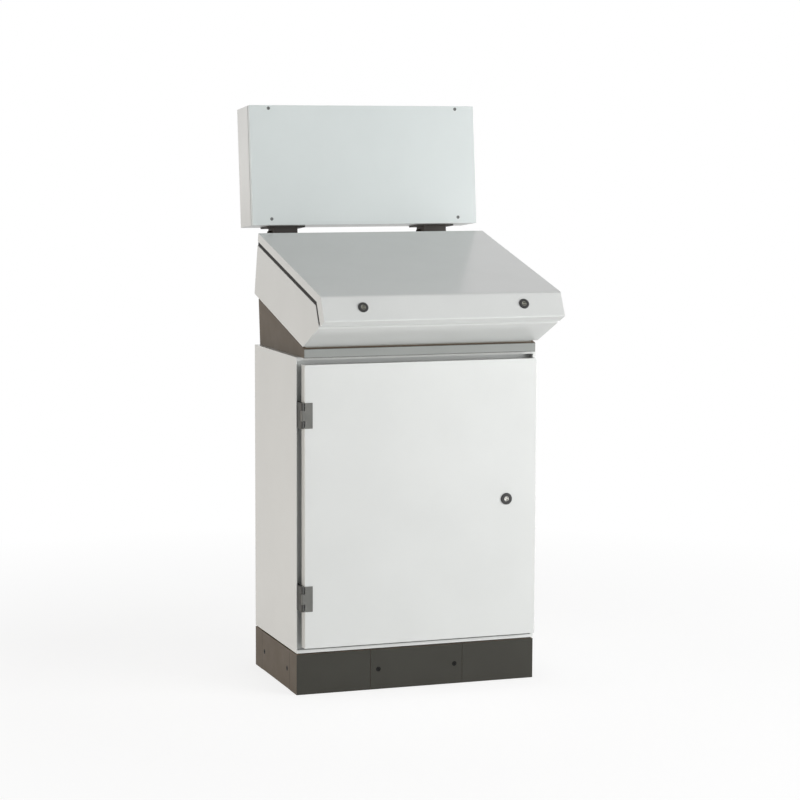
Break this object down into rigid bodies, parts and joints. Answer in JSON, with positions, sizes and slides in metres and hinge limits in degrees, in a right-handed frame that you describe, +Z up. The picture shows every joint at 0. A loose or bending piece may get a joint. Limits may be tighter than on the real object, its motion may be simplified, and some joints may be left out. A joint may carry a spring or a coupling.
{
  "type": "operator console enclosure",
  "caption": "Floor-standing operator console: plinth, pedestal cabinet with a hinged door, sloped desk with a lifting lid, and a tilting instrument box on brackets above it.",
  "frame": {"origin": "On the floor, under the middle of the pedestal and at the centre of the four floor bolt holes", "axes": "X runs to the right as seen from the front, the front faces -Y, Z points up"},
  "size_m": [0.6, 0.718, 1.3841],
  "materials": {
    "light_powder_coat": "light grey satin powder coat on folded sheet steel",
    "dark_powder_coat": "dark grey powder coat with a fine texture",
    "mid_powder_coat": "mid grey powder coat with a fine texture",
    "black_rubber": "matt black foamed seal",
    "grey_foam": "matt light grey foamed seal",
    "zinc_steel": "bright zinc plate on steel",
    "hinge_casting": "grey coated zinc casting",
    "lock_black": "black coated zinc casting",
    "lock_metal": "bright plated casting",
    "black_coat": "black satin coat on steel plate",
    "dark_screw": "blackened steel",
    "grey_screw": "grey phosphated steel"
  },
  "bodies": {
    "base": {"plinth_front": "dark_powder_coat", "plinth_rear": "dark_powder_coat", "plinth_front_cover": "dark_powder_coat", "plinth_rear_cover": "dark_powder_coat", "plinth_left_panel": "dark_powder_coat", "plinth_right_panel": "dark_powder_coat", "plinth_screws": "dark_screw", "plinth_gasket": "black_rubber", "plinth_bolts": "zinc_steel", "pedestal_body": "light_powder_coat", "gland_plate": "zinc_steel", "mounting_plate": "zinc_steel", "mounting_studs": "zinc_steel", "mounting_nuts": "zinc_steel", "hinge_foot_upper": "hinge_casting", "hinge_foot_lower": "hinge_casting", "hinge_pins": "zinc_steel", "collar": "dark_powder_coat", "collar_front_cover": "mid_powder_coat", "collar_bolts": "zinc_steel", "desk_gasket": "grey_foam", "desk_bolts": "zinc_steel", "desk_body": "light_powder_coat", "lid_gasket": "black_rubber", "desk_hinge_leaf_left": "zinc_steel", "desk_hinge_leaf_right": "zinc_steel", "lid_hinge_pins": "zinc_steel", "bracket_arm_left": "black_coat", "bracket_arm_right": "black_coat", "pivot_bolts": "black_coat", "foot_bolts": "black_coat"},
    "door": {"door": "light_powder_coat", "door_gasket": "black_rubber", "hinge_strap_upper": "hinge_casting", "hinge_strap_lower": "hinge_casting", "door_lock_housing": "lock_black", "door_lock_nut": "zinc_steel"},
    "door_lock": {"door_lock_core": "lock_metal", "door_lock_cam": "zinc_steel"},
    "lid": {"lid": "light_powder_coat", "lid_hinge_leaf_left": "zinc_steel", "lid_hinge_leaf_right": "zinc_steel", "lid_lock_left_housing": "lock_black", "lid_lock_left_nut": "zinc_steel", "lid_lock_right_housing": "lock_black", "lid_lock_right_nut": "zinc_steel"},
    "lid_lock_left": {"lid_lock_left_core": "lock_metal", "lid_lock_left_cam": "zinc_steel"},
    "lid_lock_right": {"lid_lock_right_core": "lock_metal", "lid_lock_right_cam": "zinc_steel"},
    "instrument_box": {"box_shell": "light_powder_coat", "box_gasket": "black_rubber", "box_cover": "light_powder_coat", "box_screws": "grey_screw", "bracket_clevis_left": "black_coat", "bracket_clevis_right": "black_coat"}
  },
  "joints": [
    {"name": "door_swing", "type": "hinge", "parent": "base", "child": "door", "pos_m": [-0.293, -0.2, 0.45], "axis": [0, 0, -1], "range_deg": [0, 130]},
    {"name": "door_lock_turn", "type": "hinge", "parent": "door", "child": "door_lock", "pos_m": [0.217, -0.202, 0.448], "axis": [0, -1, 0], "range_deg": [0, 90]},
    {"name": "lid_lift", "type": "hinge", "parent": "base", "child": "lid", "pos_m": [0, 0.17608, 1.04941], "axis": [-1, 0, 0], "range_deg": [0, 75]},
    {"name": "lid_lock_left_turn", "type": "hinge", "parent": "lid", "child": "lid_lock_left", "pos_m": [-0.196, -0.35377, 0.92708], "axis": [0, 0.891, -0.454], "range_deg": [0, 90]},
    {"name": "lid_lock_right_turn", "type": "hinge", "parent": "lid", "child": "lid_lock_right", "pos_m": [0.196, -0.35377, 0.92708], "axis": [0, -0.891, 0.454], "range_deg": [0, 90]},
    {"name": "box_tilt", "type": "hinge", "parent": "base", "child": "instrument_box", "pos_m": [0, 0.28005, 1.06824], "axis": [-1, 0, 0], "range_deg": [-6, 20]}
  ]
}
